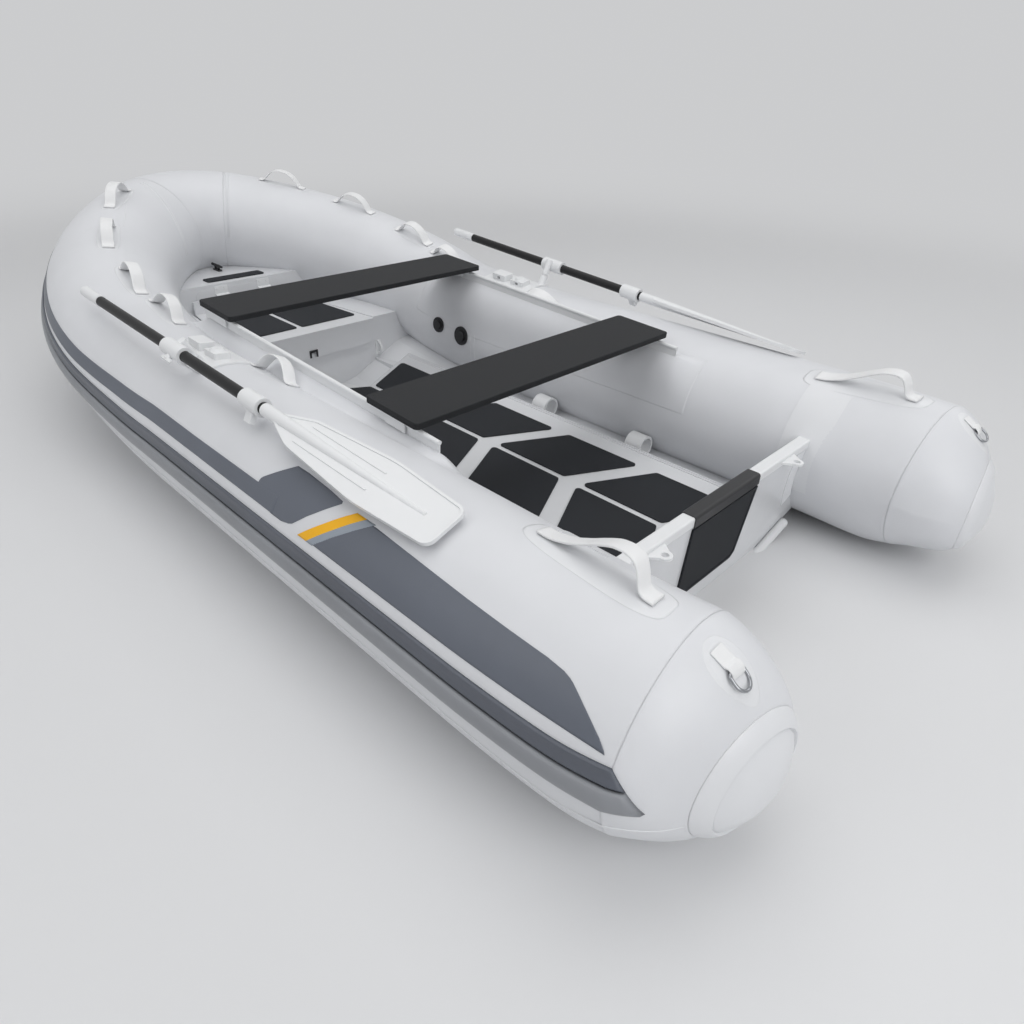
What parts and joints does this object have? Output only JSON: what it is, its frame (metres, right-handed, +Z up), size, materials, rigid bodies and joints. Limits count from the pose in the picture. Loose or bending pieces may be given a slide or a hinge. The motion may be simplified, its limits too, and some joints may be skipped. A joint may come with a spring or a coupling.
{
  "type": "inflatable tender",
  "caption": "Rigid-hulled inflatable tender with side tubes, raised floor, bow locker under a hinged lid, sliding bench seats and stowed swinging oars.",
  "frame": {"origin": "on the centreline at mid-length, at the waterline", "axes": "+X towards the bow, +Y to port, +Z up"},
  "size_m": [3.4023, 1.7336, 0.8072],
  "materials": {
    "tube_fabric": "satin coated fabric",
    "strake_dark": "matte slate",
    "strake_grey": "matte mid grey",
    "gelcoat": "smooth gelcoat",
    "deck_pad": "matte charcoal",
    "bench_board": "matte near-black",
    "oar_tube": "gloss black",
    "steel": "polished",
    "white_fitting": "smooth white",
    "black_fitting": "matte black"
  },
  "bodies": {
    "boat": {"bow_cleat": "steel", "bow_deck": "gelcoat", "bow_eye": "steel", "cap_port": "tube_fabric", "cap_starboard": "tube_fabric", "cone_port": "tube_fabric", "cone_starboard": "tube_fabric", "floor_deck": "gelcoat", "floor_pads": "deck_pad", "grab_loops_port": "white_fitting", "grab_loops_starboard": "white_fitting", "hinge_fixed": "steel", "hull": "gelcoat", "keel_strip": "gelcoat", "locker_face": "gelcoat", "locker_padeye": "white_fitting", "motor_pad": "deck_pad", "rails": "white_fitting", "ring_straps": "tube_fabric", "rowlock_bases": "white_fitting", "step_pad": "deck_pad", "stern_handle_port": "white_fitting", "stern_handle_starboard": "white_fitting", "stern_rings": "steel", "strake_band_port": "strake_dark", "strake_band_starboard": "strake_dark", "strake_bead_port": "strake_grey", "strake_bead_starboard": "strake_grey", "tie_rings": "white_fitting", "tow_eyes": "white_fitting", "transom_bar": "gelcoat", "transom_cap": "deck_pad", "transom_lip": "gelcoat", "transom_panel": "gelcoat", "transom_tapes": "tube_fabric", "tube_bow": "tube_fabric", "tube_patches_port": "tube_fabric", "tube_patches_starboard": "tube_fabric", "tube_port": "tube_fabric", "tube_starboard": "tube_fabric", "valves": "black_fitting"},
    "locker_lid": {"locker_lid": "gelcoat", "lid_pads": "deck_pad", "lid_latch": "black_fitting", "hinge_moving": "steel"},
    "bench_fore": {"bench_fore": "bench_board", "bench_fore_sliders": "white_fitting"},
    "bench_aft": {"bench_aft": "bench_board", "bench_aft_sliders": "white_fitting"},
    "oar_port": {"oar_blade_port": "white_fitting", "oar_clamp_port": "white_fitting", "oar_collar_port": "white_fitting", "oar_grip_port": "white_fitting", "oar_shaft_port": "oar_tube"},
    "oar_starboard": {"oar_blade_starboard": "white_fitting", "oar_clamp_starboard": "white_fitting", "oar_collar_starboard": "white_fitting", "oar_grip_starboard": "white_fitting", "oar_shaft_starboard": "oar_tube"}
  },
  "joints": [
    {"name": "lid_hinge", "type": "hinge", "parent": "boat", "child": "locker_lid", "pos_m": [1.046, 0, 0.301], "axis": [0, 1, 0], "range_deg": [0, 100]},
    {"name": "bench_fore_slide", "type": "slide", "parent": "boat", "child": "bench_fore", "axis": [0.9988, 0, 0.0489], "range_m": [-0.645, 0.06]},
    {"name": "bench_aft_slide", "type": "slide", "parent": "boat", "child": "bench_aft", "axis": [0.9988, 0, 0.0489], "range_m": [-0.047, 0.645]},
    {"name": "oar_port_swing", "type": "hinge", "parent": "boat", "child": "oar_port", "pos_m": [-0.045, 0.6723, 0.4367], "axis": [0, -0.4462, -0.8949], "range_deg": [0, 90]},
    {"name": "oar_starboard_swing", "type": "hinge", "parent": "boat", "child": "oar_starboard", "pos_m": [-0.045, -0.6723, 0.4367], "axis": [0, -0.4462, 0.8949], "range_deg": [0, 90]}
  ]
}
